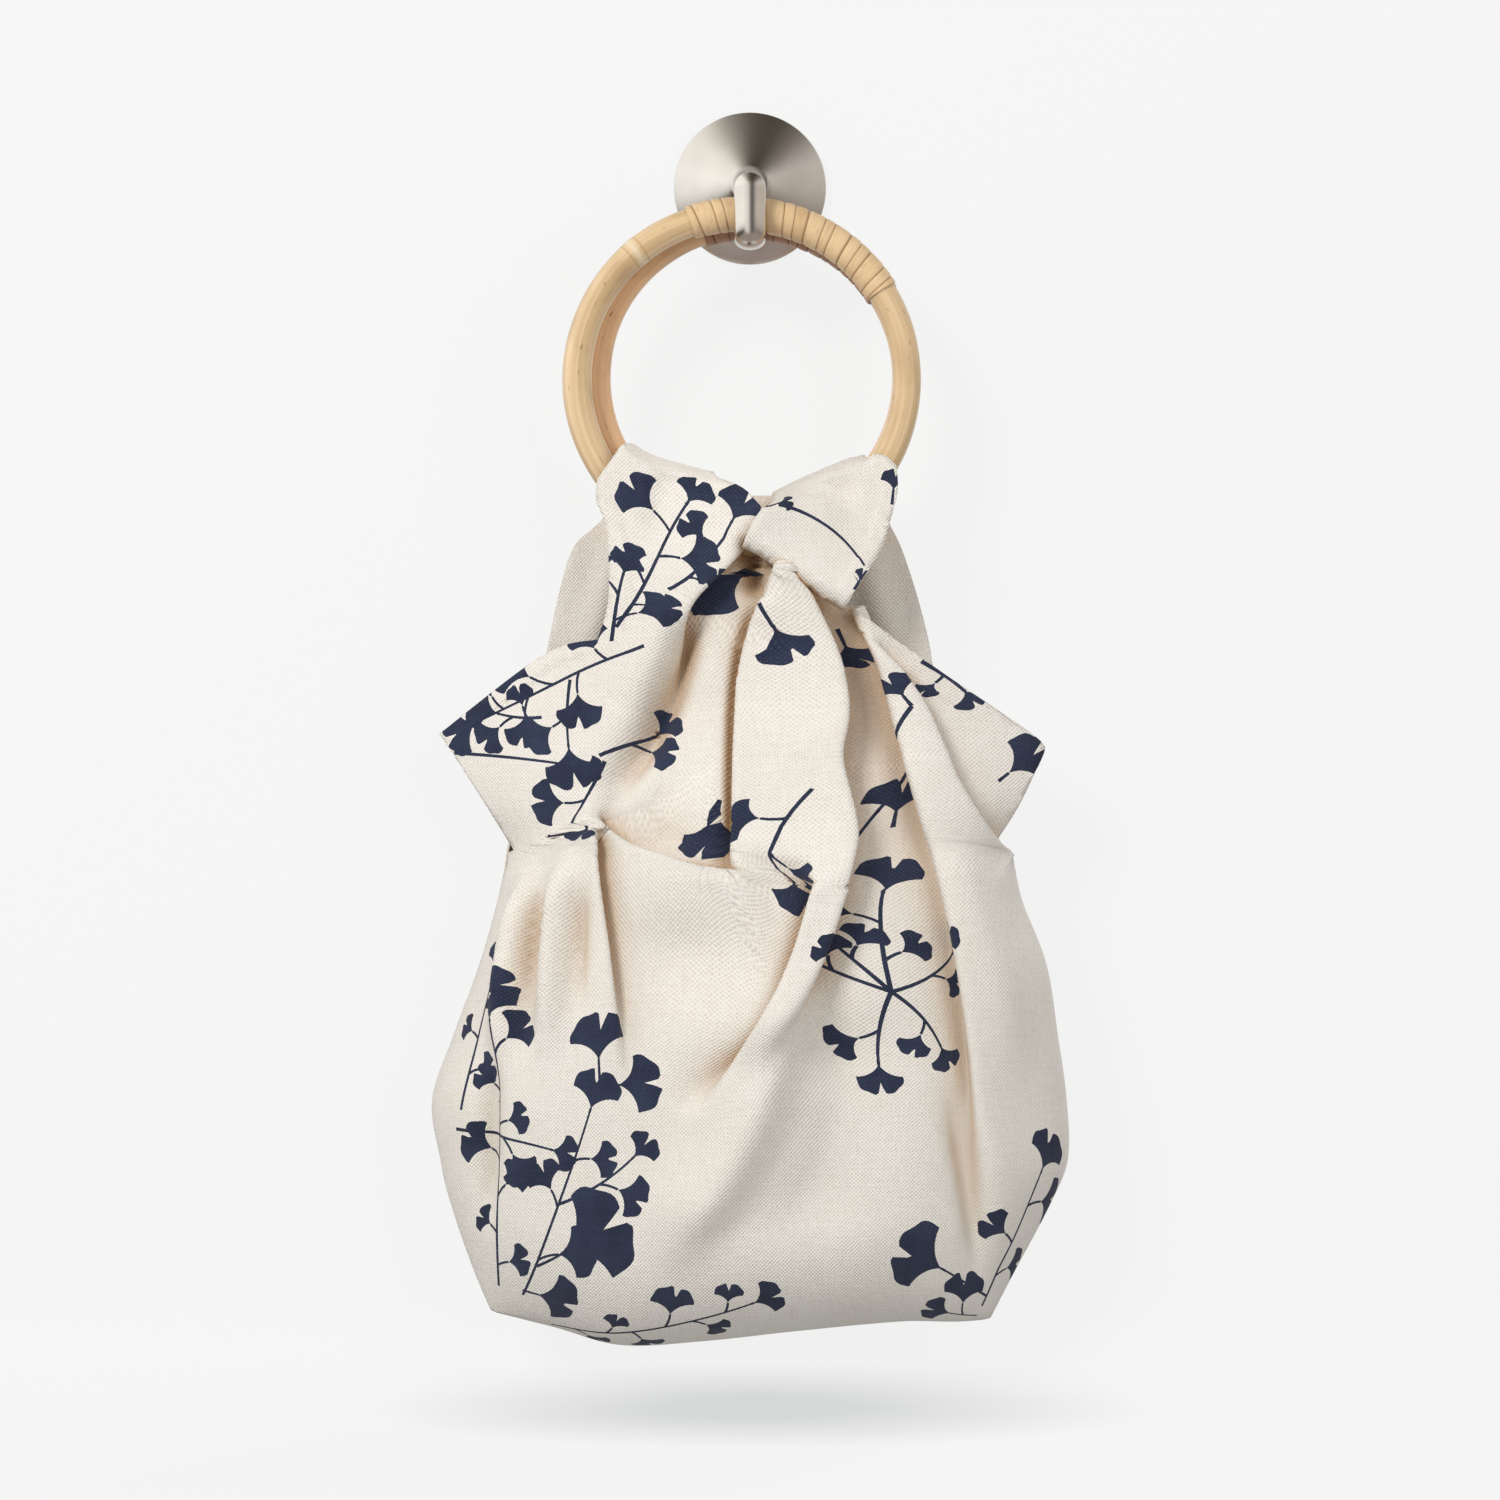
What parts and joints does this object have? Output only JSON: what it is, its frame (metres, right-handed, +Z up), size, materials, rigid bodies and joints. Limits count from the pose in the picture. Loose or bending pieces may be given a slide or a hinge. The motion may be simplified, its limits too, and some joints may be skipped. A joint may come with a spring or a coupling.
{
  "type": "knot bag on a wall hook",
  "caption": "Printed cloth bag knotted round cane rings and hanging by them from a round wall hook; holds small items.",
  "frame": {"origin": "centre of the hook plate's back face, where it meets the wall", "axes": "+Z up along the hanging bag, +Y into the wall, so the bag's front faces -Y"},
  "size_m": [0.2692, 0.1108, 0.5276],
  "materials": {
    "printed_cloth": "plain-woven natural cotton with a navy leaf print",
    "cane": "varnished bent cane",
    "cane_binding": "varnished split cane, wound",
    "steel": "spun and brushed"
  },
  "bodies": {
    "root": {"front_panel": "printed_cloth", "back_panel": "printed_cloth", "right_tie": "printed_cloth", "ring_front": "cane", "ring_back": "cane", "binding_front": "cane_binding", "binding_back": "cane_binding", "hook_plate": "steel", "hook_prong": "steel"}
  },
  "joints": []
}
